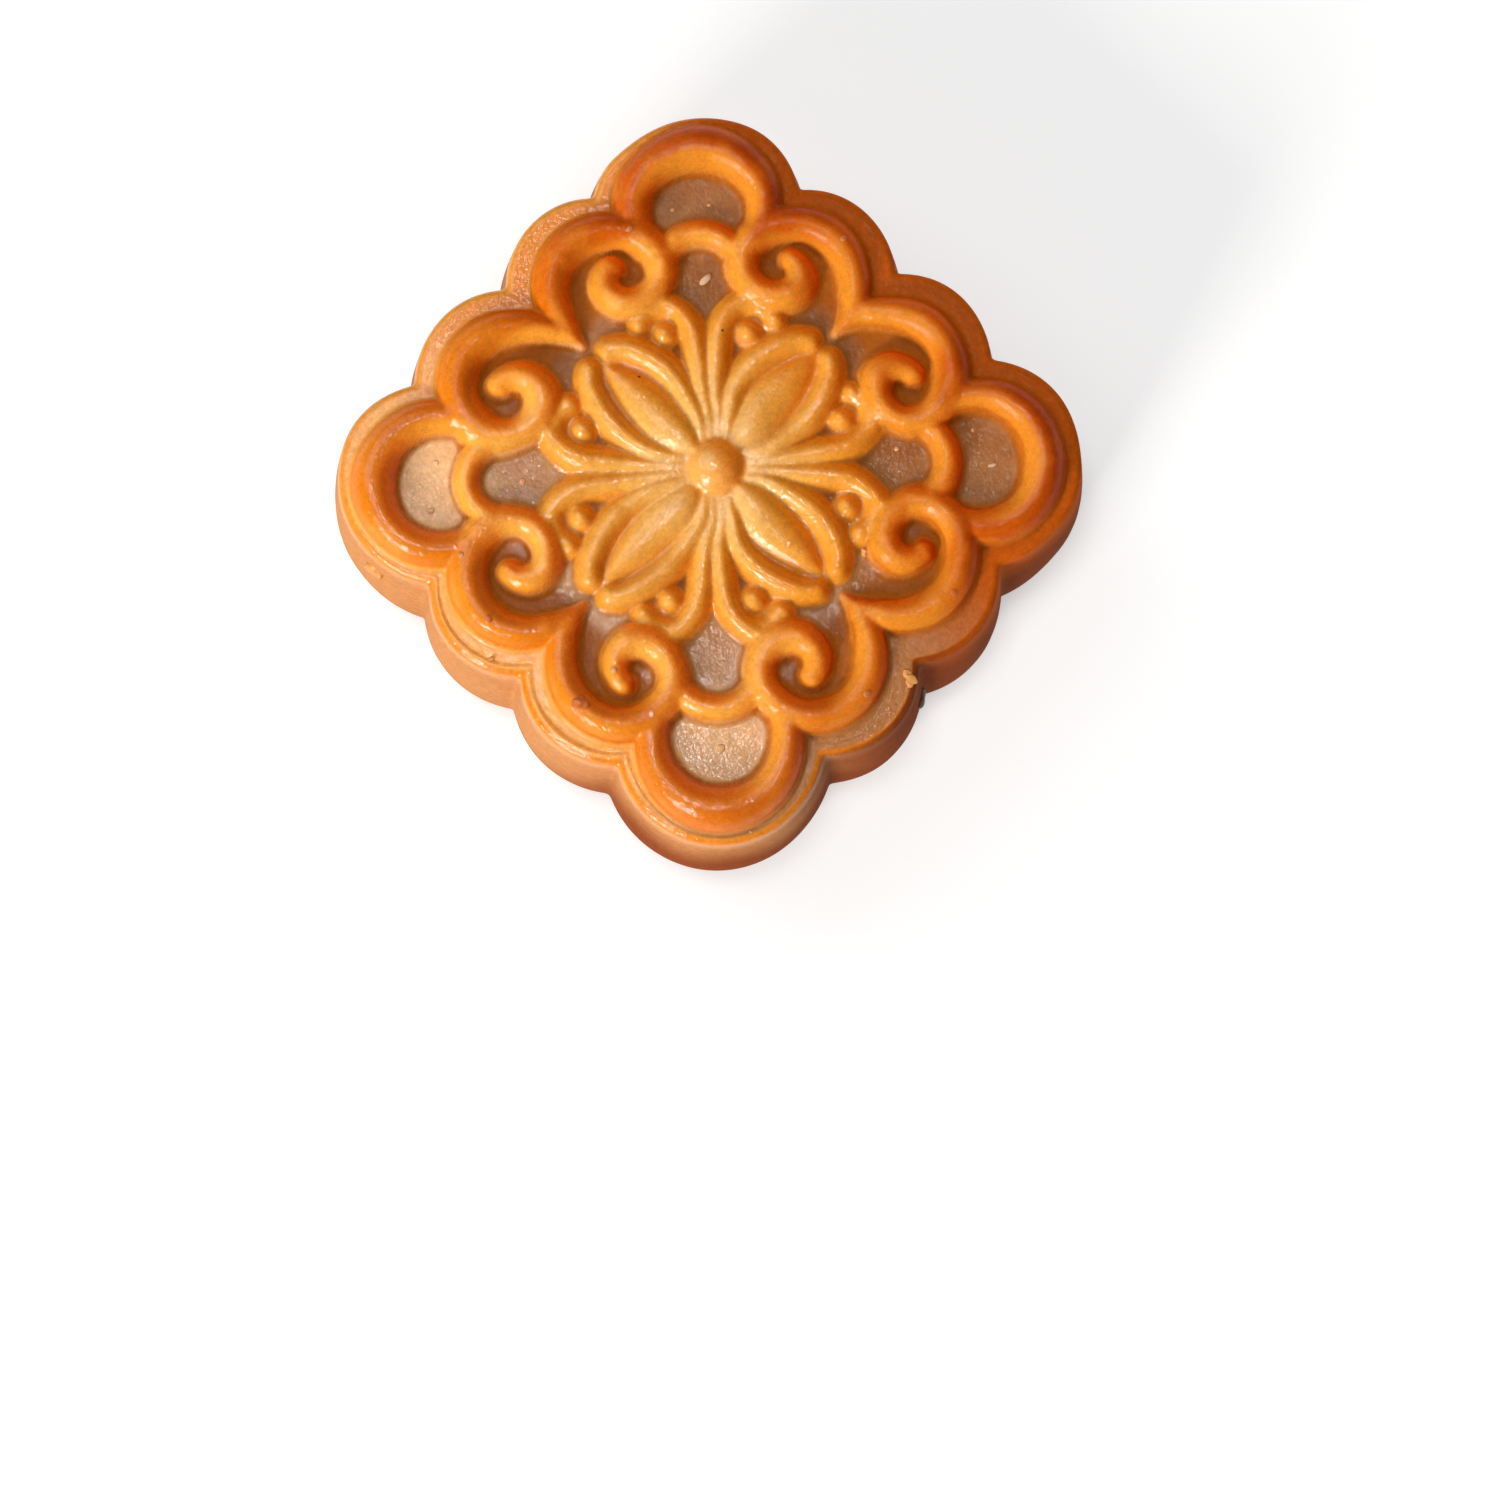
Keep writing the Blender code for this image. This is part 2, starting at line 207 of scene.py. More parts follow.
# Studio: lights in metres (name, place, size, colour), and the camera in millimetres
FLOOR_HALF_SIDE = 2.0
LIGHTS = (
    ("key", (-3.2, -0.3, 1.6), (1.1, 1.1), (1.0, 0.97, 0.93)),
    ("fill", (-0.1, 1.15, 1.4), (1.3, 1.3), (0.97, 0.99, 1.0)),
    ("strip", (-0.055, 0.11, 1.3), (0.2, 0.22), WHITE),
)
CAMERA_PLACE = (-51.0, -40.4)
CAMERA_RISE = 401.6
CAMERA_TARGET = (-18.8, -23.2)
CAMERA_TURN = -47.4


def turned(points, quarter):
    """Flat points turned about the cake's centre by that many quarter turns."""
    x, y = points[..., 0], points[..., 1]
    for _ in range(quarter % 4):
        x, y = -y, x
    return np.stack([x, y], axis=-1)


def length_of(vectors):
    """Lengths of the vectors along the last axis."""
    return np.linalg.norm(vectors, axis=-1)


def ramp(values, low, high):
    """0 below the low value, 1 above the high value and a smooth rise between them."""
    share = np.clip((values - low) / (high - low), 0.0, 1.0)
    return share * share * (3 - 2 * share)


def smooth_max(first, second, blend):
    """The higher of two heights, with a fillet where they cross."""
    near = np.clip(blend - np.abs(first - second), 0.0, None) / blend
    return np.maximum(first, second) + near * near * blend / 4


def waves(points, length, seed, count=7):
    """A gentle unevenness of about -1 to 1 with forms of about the given length."""
    draw = random.Random(seed)
    total = np.zeros(points.shape[:-1])
    for _ in range(count):
        angle = draw.uniform(0, 2 * math.pi)
        pitch = 2 * math.pi / (length * draw.uniform(0.7, 1.4))
        along = points[..., 0] * math.cos(angle) + points[..., 1] * math.sin(angle)
        total += np.sin(along * pitch + draw.uniform(0, 2 * math.pi))
    return total / math.sqrt(count)


def swayed(plan):
    """Places in the plan, moved by the soft dough's unevenness."""
    unevenness = bpy.context.scene.mooncake_shape.unevenness / MM
    sway = (waves(plan, 20.0, seed=11), waves(plan, 20.0, seed=12))
    return plan + unevenness * np.stack(sway, axis=-1)


class ArcLine:
    """A smooth line made of arcs, with the half width of the ridge that follows it."""

    def __init__(self, start, heading, arcs, widths):
        self.arcs = []
        self.length = 0.0
        self.stations = np.array(widths)
        place = np.array(start, float)
        direction = math.radians(heading)
        for radius, turn in arcs:
            sweep = math.radians(turn)
            side = math.copysign(math.pi / 2, sweep)
            centre = place + radius * np.array((math.cos(direction + side), math.sin(direction + side)))
            first = direction - side
            self.arcs.append((centre, radius, first, sweep, self.length))
            last = first + sweep
            place = centre + radius * np.array((math.cos(last), math.sin(last)))
            direction += sweep
            self.length += radius * abs(sweep)

    def nearest(self, points):
        """Distance to the line, and the half width of the ridge where the line is nearest."""
        distance = np.full(points.shape[:-1], np.inf)
        share = np.zeros(points.shape[:-1])
        for centre, radius, first, sweep, before in self.arcs:
            offset = points - centre
            angle = (np.arctan2(offset[..., 1], offset[..., 0]) - first) * math.copysign(1.0, sweep)
            angle = np.mod(angle, 2 * math.pi)
            span = abs(sweep)
            past_end = np.where(angle - span < 2 * math.pi - angle, span, 0.0)
            angle = np.where(angle > span, past_end, angle)
            direction = first + np.copysign(angle, sweep)
            foot = centre + radius * np.stack([np.cos(direction), np.sin(direction)], axis=-1)
            here = length_of(points - foot)
            closer = here < distance
            distance = np.where(closer, here, distance)
            share = np.where(closer, (before + radius * angle) / self.length, share)
        return distance, np.interp(share, self.stations[:, 0], self.stations[:, 1])


def diagonal_line(centre, radius, span, widths):
    """A line along an arc that is symmetrical about the diagonal."""
    first = math.radians(45 - span / 2)
    start = np.array(centre) + radius * np.array((math.cos(first), math.sin(first)))
    return ArcLine(start, 45 - span / 2 + 90, ((radius, span),), widths)


SCROLL_LINE = ArcLine(**SCROLL)
CORNER_LINE = diagonal_line(**CORNER_RIDGE)
ARCH_LINE = diagonal_line(**SMALL_ARCH)
RIM_LINE = ArcLine(**PETAL_RIM)
STEM_LINE = ArcLine(**STEM)
HOOK_LINE = ArcLine(**HOOK)


def slipped(points, slips, reach, values=1):
    """Weighted mean of the slips near each point, dying away where none is near."""
    total = np.zeros(points.shape[:-1] + (values,))
    weight = np.full(points.shape[:-1] + (1,), STILL_WEIGHT)
    for place, slip in slips:
        away = np.linalg.norm(points - np.array(place), axis=-1, keepdims=True)
        share = np.exp(-(away / reach) ** 2 / 2)
        total += share * np.array(slip)
        weight += share
    return total / weight


PATTERN_SLIPS = [
    (np.array(place) + np.array(slip), (slip[0], slip[1], fullness - 1)) for place, slip, fullness in SLIPS]


def pattern_place(points):
    """Places on the mould's even pattern that the face's points show, and how full the ridges are there."""
    slip = slipped(points, PATTERN_SLIPS, SLIP_REACH, 3)
    return points - slip[..., :2], 1 + slip[..., 2]


def dome_section(across):
    """Height share of a round section: an arch up to its steepest share, then a straight slope down."""
    inside = np.minimum(across, STEEPEST_SHARE)
    arch = np.sqrt(1 - inside * inside)
    slope = STEEPEST_SHARE / math.sqrt(1 - STEEPEST_SHARE ** 2)
    return arch - slope * np.maximum(across - STEEPEST_SHARE, 0.0)


def ridge_height(points, line, swell=1.0, rise=RIDGE_RISE):
    """Height over the ledge of a ridge that follows a line."""
    distance, half_width = line.nearest(points)
    half_width = half_width * swell
    across = distance / (half_width * FOOT_SHARE)
    return half_width * rise * dome_section(across) - RIDGE_SINK


def mound_height(points, centre, radius, rise):
    """Height over the ledge of a round mound."""
    across = length_of(points - np.array(centre)) / (radius * FOOT_SHARE)
    return radius * rise * dome_section(across) - RIDGE_SINK


def petal_height(points):
    """Height over the ledge of a petal, a leaf shape pointed at both ends."""
    share = np.clip((points[..., 0] - PETAL_START) / PETAL_LENGTH, 0.0, 1.0)
    fullness = np.maximum(np.sin(math.pi * share ** PETAL_SKEW), 1e-4) ** PETAL_POINTING
    half_width = np.maximum(PETAL_HALF_WIDTH * fullness, 0.15)
    beyond = np.abs(points[..., 0] - PETAL_START - PETAL_LENGTH * share)
    across = np.hypot(points[..., 1], beyond) / half_width
    crest = PETAL_HEIGHT * (half_width / PETAL_HALF_WIDTH) ** PETAL_SLOPE
    return crest * dome_section(across) - RIDGE_SINK


def folded(points):
    """Each point's image between the +X axis and the diagonal, where the pattern is described."""
    x, y = np.abs(points[..., 0]), np.abs(points[..., 1])
    return np.stack([np.maximum(x, y), np.minimum(x, y)], axis=-1)


def face_relief(points):
    """Height over the ledge of the pattern, and which part it belongs to: outer ridges 1, flower 0."""
    def flower_ridge(at, line):
        return ridge_height(at, line, unevenness, FLOWER_RISE)

    unevenness = 1 + 0.03 * waves(points, 11.0, seed=3)
    floor = -FLOOR_DEPTH + 0.05 * waves(points, 5.0, seed=5) + 0.02 * waves(points, 2.2, seed=6)
    place, fullness = pattern_place(points)
    swell = unevenness * fullness
    here = folded(place)
    mirrored = here * np.array((1.0, -1.0))
    swapped = here[..., ::-1]
    radius = length_of(place)
    outer = ridge_height(here, SCROLL_LINE, swell)
    for at, line in ((mirrored, SCROLL_LINE), (here, CORNER_LINE), (here, ARCH_LINE)):
        outer = smooth_max(outer, ridge_height(at, line, swell), JOINT_BLEND)
    stems = smooth_max(flower_ridge(here, STEM_LINE), flower_ridge(swapped, STEM_LINE), CREASE_BLEND)
    hook = flower_ridge(here, HOOK_LINE)
    rims = smooth_max(flower_ridge(here, RIM_LINE), flower_ridge(mirrored, RIM_LINE), CREASE_BLEND)
    petal = petal_height(here)
    bead = mound_height(here, BEAD_CENTRE, BEAD_RADIUS, BEAD_RISE)
    parts = (stems, rims, hook, petal, bead)
    skirts = np.maximum.reduce([np.clip(part, -9.0, BED_HEIGHT) for part in parts])
    bed = (BED_HEIGHT + RIDGE_SINK) * ramp(skirts, -BED_REACH * 3, 0.6) - RIDGE_SINK
    flower = smooth_max(stems, hook, CREASE_BLEND * 3)
    for part in (rims, petal, bead):
        flower = smooth_max(flower, part, CREASE_BLEND)
    flower = smooth_max(flower, bed, FOOT_BLEND)
    hub = HUB_HEIGHT * (1 - ramp(radius, DOME_RADIUS, HUB_RADIUS))
    flower = smooth_max(flower + hub, mound_height(place, (0.0, 0.0), DOME_RADIUS, DOME_RISE), CREASE_BLEND)
    belongs = ramp(outer - flower, -0.6, 0.6)
    height = smooth_max(outer, flower, JOINT_BLEND)
    height = smooth_max(height, floor + hub, FOOT_BLEND)
    return height, belongs


def hollowness(points, reach):
    """How far each point lies below the mean height of the points round it at that distance."""
    around = 0.0
    for step in range(8):
        turn = math.pi / 4 * step
        around = around + face_relief(points + reach * np.array((math.cos(turn), math.sin(turn))))[0]
    return around / 8 - face_relief(points)[0]


def folded_side(plan):
    """1 on the side of the ledge where the dough spread and folded, and 0 across the cake from it."""
    return ramp(-plan[..., 0] - 0.45 * plan[..., 1], 14.0, 26.0)


def outward(plan):
    """How far each point lies outside the crests of the outer ridges. It is negative inside them."""
    here = folded(pattern_place(plan)[0])
    from_scroll = length_of(here - np.array(SCROLL_MIDDLE)) - SCROLL_REACH
    from_corner = length_of(here - np.array(CORNER_RIDGE["centre"])) - CORNER_RIDGE["radius"]
    return np.where(here[..., 0] > 19.0, np.minimum(from_scroll, from_corner), -5.0)


def lobes():
    """Centre and radius of each lobe, counterclockwise from the +X axis."""
    side = np.array(SIDE_LOBE_CENTRE)
    quarter = (
        (side, SIDE_LOBE_RADIUS),
        (np.array(CORNER_LOBE_CENTRE), CORNER_LOBE_RADIUS),
        (side[::-1], SIDE_LOBE_RADIUS),
    )
    return [(turned(centre, turn), radius) for turn in range(4) for centre, radius in quarter]


def outer_meeting(centre_a, radius_a, centre_b, radius_b):
    """Where two lobe circles cross, on the side away from the cake's centre."""
    between = centre_b - centre_a
    distance = np.linalg.norm(between)
    along = (distance ** 2 + radius_a ** 2 - radius_b ** 2) / (2 * distance)
    across = math.sqrt(radius_a ** 2 - along ** 2)
    foot = centre_a + between * (along / distance)
    side = np.array((between[1], -between[0])) * (across / distance)
    return max(foot + side, foot - side, key=np.linalg.norm)


def outline(shares, offset):
    """Points of the lobed outline moved outwards. A share of 3.5 is the middle of the fourth lobe from +X."""
    circles = [(centre, radius + offset) for centre, radius in lobes()]
    count = len(circles)
    notches = [outer_meeting(*circles[i - 1], *circles[i]) for i in range(count)]
    points = np.zeros((len(shares), 2))
    lobe = np.floor(shares).astype(int) % count
    part = shares - np.floor(shares)
    for index, (centre, radius) in enumerate(circles):
        first = notches[index] - centre
        last = notches[(index + 1) % count] - centre
        start = math.atan2(first[1], first[0])
        sweep = (math.atan2(last[1], last[0]) - start) % (2 * math.pi)
        chosen = lobe == index
        angle = start + sweep * part[chosen]
        points[chosen] = centre + radius * np.stack([np.cos(angle), np.sin(angle)], axis=-1)
    for _ in range(NOTCH_SOFTENING):
        points = (2 * points + np.roll(points, 1, axis=0) + np.roll(points, -1, axis=0)) / 4
    return points + slipped(points, BODY_SLIPS, BODY_SLIP_REACH, 2)


def edge_shares(cells):
    """Outline share of each edge vertex of a square grid, counterclockwise from the middle of +X."""
    half = cells // 2
    side_cells = round(half * SIDE_CELLS_SHARE)
    corner_cells = half - side_cells
    quarter = np.concatenate([
        np.arange(side_cells) / side_cells,
        1 + np.arange(2 * corner_cells) / (2 * corner_cells),
        2 + np.arange(side_cells) / side_cells,
    ])
    return np.concatenate([quarter + 3 * turn for turn in range(4)])


def wall_swell(height):
    """How far the soft wall bulges out at a height. It is widest about a third of the way up."""
    return WALL_BULGE * np.sin(math.pi * np.clip(height / LEDGE_HEIGHT, 0, 1) ** BULGE_LOWERING)


def wall_rings(wall_steps):
    """Outward offset and height of each ring of the wall, from the ledge's rounded edge down to the base."""
    rings = []
    for step in range(1, EDGE_STEPS + 1):
        turn = math.pi / 2 * step / EDGE_STEPS
        rings.append((EDGE_ROUND * (math.sin(turn) - 1), LEDGE_HEIGHT - EDGE_ROUND * (1 - math.cos(turn))))
    top = LEDGE_HEIGHT - EDGE_ROUND
    for step in range(1, wall_steps + 1):
        rings.append((0.0, top + (BASE_ROUND - top) * step / wall_steps))
    for step in range(1, BASE_STEPS + 1):
        turn = math.pi / 2 * step / BASE_STEPS
        rings.append((BASE_ROUND * (math.cos(turn) - 1), BASE_ROUND * (1 - math.sin(turn))))
    return [(offset + float(wall_swell(height)), height) for offset, height in rings]


def link(obj):
    bpy.context.scene.collection.objects.link(obj)
    return obj


def round_edge(u, v):
    """Place of points on a square's edge, in half sides counterclockwise from the middle of the +X side."""
    right = (u >= 1 - NEAR_NOTHING) & (v < 1)
    top = v >= 1 - NEAR_NOTHING
    left = u <= -1 + NEAR_NOTHING
    return np.mod(np.select([right, top, left], [v, 2 - u, 4 - v], 6 + u), 8)


def face_grid(cells, relax_steps):
    """Places of a square grid's vertices over the face, closer together where the relief is steep."""
    half = cells // 2
    steps = np.arange(-half, half + 1) / half
    u, v = np.meshgrid(steps, steps, indexing="ij")
    reach = np.maximum(np.abs(u), np.abs(v))
    shares = edge_shares(cells)
    edge = outline(shares, -GRID_INSET)
    safe = np.maximum(reach, NEAR_NOTHING)
    place = round_edge(u / safe, v / safe) * half
    count = len(edge)
    low = np.floor(place).astype(int) % count
    part = (place - np.floor(place))[..., None]
    rim = edge[low] * (1 - part) + edge[(low + 1) % count] * part
    half_side = SIDE_LOBE_CENTRE[0] + SIDE_LOBE_RADIUS - GRID_INSET
    pull = (reach ** 5)[..., None]
    points = np.stack([u, v], axis=-1) * half_side * (1 - pull) + rim * reach[..., None] * pull
    for _ in range(relax_steps):
        heights = face_relief(points)[0]
        solid = np.concatenate([points, heights[..., None]], axis=-1)
        inner = solid[1:-1, 1:-1]
        total, weight = 0.0, 0.0
        for neighbour in (solid[2:, 1:-1], solid[:-2, 1:-1], solid[1:-1, 2:], solid[1:-1, :-2]):
            pulled = length_of(neighbour - inner)[..., None] + half_side / half / 2
            total = total + neighbour[..., :2] * pulled
            weight = weight + pulled
        points[1:-1, 1:-1] += EASING * (total / weight - points[1:-1, 1:-1])
    return points, shares


def finished_mesh(name, shape):
    """A smooth mesh in metres from a shape in millimetres."""
    bmesh.ops.scale(shape, vec=(MM, MM, MM), verts=shape.verts)
    mesh = bpy.data.meshes.new(name)
    shape.to_mesh(mesh)
    shape.free()
    mesh.shade_smooth()
    return mesh


def add_piece(mesh, masks, material):
    """Makes a piece of the cake. The masks are numbers for each vertex, which the material reads by name."""
    for name, values in masks.items():
        attribute = mesh.attributes.new(name, "FLOAT", "POINT")
        attribute.data.foreach_set("value", values.astype(np.float32))
    mesh.materials.append(material)
    piece = link(bpy.data.objects.new(mesh.name, mesh))
    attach(piece, "root")
    return piece


def colour_property(name, description, default):
    return FloatVectorProperty(
        name=name, description=description, subtype="COLOR", size=3, default=default, min=0.0, max=1.0)


def amount_property(name, description, default):
    return FloatProperty(name=name, description=description, default=default, min=0.0)


class MooncakeShape(bpy.types.PropertyGroup):
    """How finely the crust is modelled, and how uneven it is."""
    cells: IntProperty(name="Cells", description="Cells along a side of the face's grid", default=248, min=48)
    relax_steps: IntProperty(
        name="Relax Steps", description="Rounds of moving vertices towards steep relief", default=6, min=0)
    softening: IntProperty(name="Softening", description="Rounds of softening the relief", default=2, min=0)
    wall_steps: IntProperty(name="Wall Steps", description="Rings down the wall", default=9, min=4)
    unevenness: FloatProperty(
        name="Unevenness", description="How far the soft dough strays from the mould's shape",
        default=0.12 * MM, min=0.0, unit="LENGTH")


class MooncakeLook(bpy.types.PropertyGroup):
    """Colours and finish of the crust."""
    crest: colour_property("Crest", "Tops of the ridges", (0.83, 0.31, 0.03))
    browned: colour_property("Browned", "Tops of the ridges near the cake's edge", (0.6, 0.11, 0.002))
    browned_light: colour_property(
        "Browned Light", "Tops of the ridges near the edge on the side that baked pale", (0.72, 0.18, 0.003))
    flank: colour_property("Flank", "Paler dough low on the ridges and on the ledge", (0.77, 0.265, 0.022))
    flank_sunny: colour_property(
        "Flank Sunny", "Outer flanks of the ridges on the side that baked pale", (0.7, 0.18, 0.005))
    flower: colour_property("Flower", "Golden tops of the petals and stems", (0.86, 0.42, 0.075))
    flower_low: colour_property("Flower Low", "Deeper tone low on the petals and stems", (0.79, 0.29, 0.025))
    foot: colour_property("Foot", "Unbrowned dough where the ridges meet the floors", (0.76, 0.33, 0.09))
    hollow: colour_property("Hollow", "Glazed floors between the ridges", (0.31, 0.1, 0.021))
    # Painted light: floors on the -X side are made paler to stand in for the sheen and light they catch
    hollow_lit_sheen: colour_property(
        "Hollow Light", "Glazed floors on the side that baked pale", (0.86, 0.49, 0.21))
    # Partly painted shade: glaze in the grooves, and the shade of the narrow grooves and deepest wells
    crevice: colour_property("Crevice", "Glaze gathered in the narrow grooves", (0.4, 0.1, 0.004))
    # Painted shade: this darkens the ledge and wall on the +X side, away from the main light
    far_side: colour_property("Far Side", "Ledge and wall on the side that baked darker", (0.56, 0.1, 0.005))
    wall: colour_property("Wall", "Soft wall below the ledge", (0.6, 0.24, 0.075))
    # Partly painted shade: besides the browned foot, this darkens the wall on the side turned from the light
    scorched: colour_property("Scorched", "Browned foot of the wall", (0.25, 0.05, 0.008))
    ledge_pale: colour_property("Ledge Pale", "Ledge where the dough stayed soft and pale", (0.9, 0.41, 0.09))
    # Painted shade: the ledge on the -Y side, darker and greyer
    ledge_dull_shade: colour_property("Ledge Dull", "Ledge where the glaze pooled", (0.44, 0.165, 0.045))
    heart: colour_property("Heart", "Palest dough, round the dome", (0.88, 0.49, 0.15))
    dome: colour_property("Dome", "Pale button in the middle of the flower", (0.95, 0.41, 0.085))
    # Partly painted shade: strongest on the side away from the light
    tip_browned_and_shaded: colour_property("Tip", "Browned ends of the petals", (0.83, 0.3, 0.02))
    seed: colour_property("Seed", "Sesame seeds", (0.74, 0.47, 0.28))
    speck: colour_property("Speck", "Burnt specks", (0.09, 0.03, 0.01))
    edge: colour_property("Edge", "Browned line along the ledge's edge", (0.8, 0.2, 0.006))
    roughness: amount_property("Roughness", "Roughness of the crust", 0.55)
    glaze: amount_property("Glaze", "Strength of the egg wash", 1.0)


class MooncakeStudio(bpy.types.PropertyGroup):
    """Floor, lights and camera."""
    floor: colour_property("Floor", "Colour of the studio floor", (0.6, 0.6, 0.6))
    floor_glow: amount_property("Floor Glow", "Light that the floor gives off, which keeps it white", 0.5)
    key_power: amount_property("Key Power", "Power of the low main light in watts", 114.0)
    fill_power: amount_property("Fill Power", "Power of the wide light behind the cake in watts", 11.0)
    strip_power: amount_property("Strip Power", "Power of the light that shines in the glaze in watts", 4.2)
    world_strength: amount_property("World Strength", "Strength of the even light from all round", 0.12)
    lens: FloatProperty(name="Lens", description="Camera lens in millimetres", default=91.2, min=10.0)


class NodeTree:
    """A material's nodes, with short ways to add and join them."""

    def __init__(self, name):
        self.material = bpy.data.materials.new(name)
        self.material.use_nodes = True
        self.tree = self.material.node_tree
        self.shader = self.tree.nodes["Principled BSDF"]
        self.place = self.tree.nodes.new("ShaderNodeTexCoord").outputs["Object"]

    def put(self, socket, value):
        """Joins an output to a socket, or sets the socket's own value. A colour comes without its alpha."""
        if isinstance(value, bpy.types.NodeSocket):
            self.tree.links.new(value, socket)
        elif socket.type == "RGBA":
            socket.default_value = (value[0], value[1], value[2], 1.0)
        else:
            socket.default_value = value

    def finished(self, values):
        """The material, after its shader's sockets are joined or set by name."""
        for name, value in values.items():
            self.put(self.shader.inputs[name], value)
        return self.material

    def attribute(self, name):
        node = self.tree.nodes.new("ShaderNodeAttribute")
        node.attribute_name = name
        return node.outputs["Fac"]

    def noise(self, size, detail=2.0, roughness=0.5):
        """Noise with forms of about the given size in millimetres, from 0 to 1."""
        node = self.tree.nodes.new("ShaderNodeTexNoise")
        self.put(node.inputs["Vector"], self.place)
        node.inputs["Scale"].default_value = 1 / (size * MM)
        node.inputs["Detail"].default_value = detail
        node.inputs["Roughness"].default_value = roughness
        return node.outputs["Fac"]

    def combine(self, operation, first, second, clamp=False):
        node = self.tree.nodes.new("ShaderNodeMath")
        node.operation = operation
        node.use_clamp = clamp
        self.put(node.inputs[0], first)
        self.put(node.inputs[1], second)
        return node.outputs[0]

    def times(self, first, second, clamp=False):
        return self.combine("MULTIPLY", first, second, clamp)

    def higher(self, first, second):
        return self.combine("MAXIMUM", first, second)

    def spread(self, value, low, high, new_low=0.0, new_high=1.0):
        """The value stretched from one span to another, smoothly and without passing its ends."""
        node = self.tree.nodes.new("ShaderNodeMapRange")
        node.interpolation_type = "SMOOTHSTEP"
        self.put(node.inputs["Value"], value)
        node.inputs["From Min"].default_value = low
        node.inputs["From Max"].default_value = high
        node.inputs["To Min"].default_value = new_low
        node.inputs["To Max"].default_value = new_high
        return node.outputs["Result"]

    def mix(self, share, first, second, blend="MIX"):
        node = self.tree.nodes.new("ShaderNodeMix")
        node.data_type = "RGBA"
        node.blend_type = blend
        self.put(node.inputs[0], share)
        self.put(node.inputs[6], first)
        self.put(node.inputs[7], second)
        return node.outputs[2]

    def tinted(self, share, colour, tint):
        """The colour multiplied by the tint, as far as the share says."""
        return self.mix(share, colour, tint, "MULTIPLY")

    def bump(self, height, strength, distance, below=None):
        node = self.tree.nodes.new("ShaderNodeBump")
        node.inputs["Strength"].default_value = strength
        node.inputs["Distance"].default_value = distance
        self.put(node.inputs["Height"], height)
        if below is not None:
            self.put(node.inputs["Normal"], below)
        return node.outputs["Normal"]


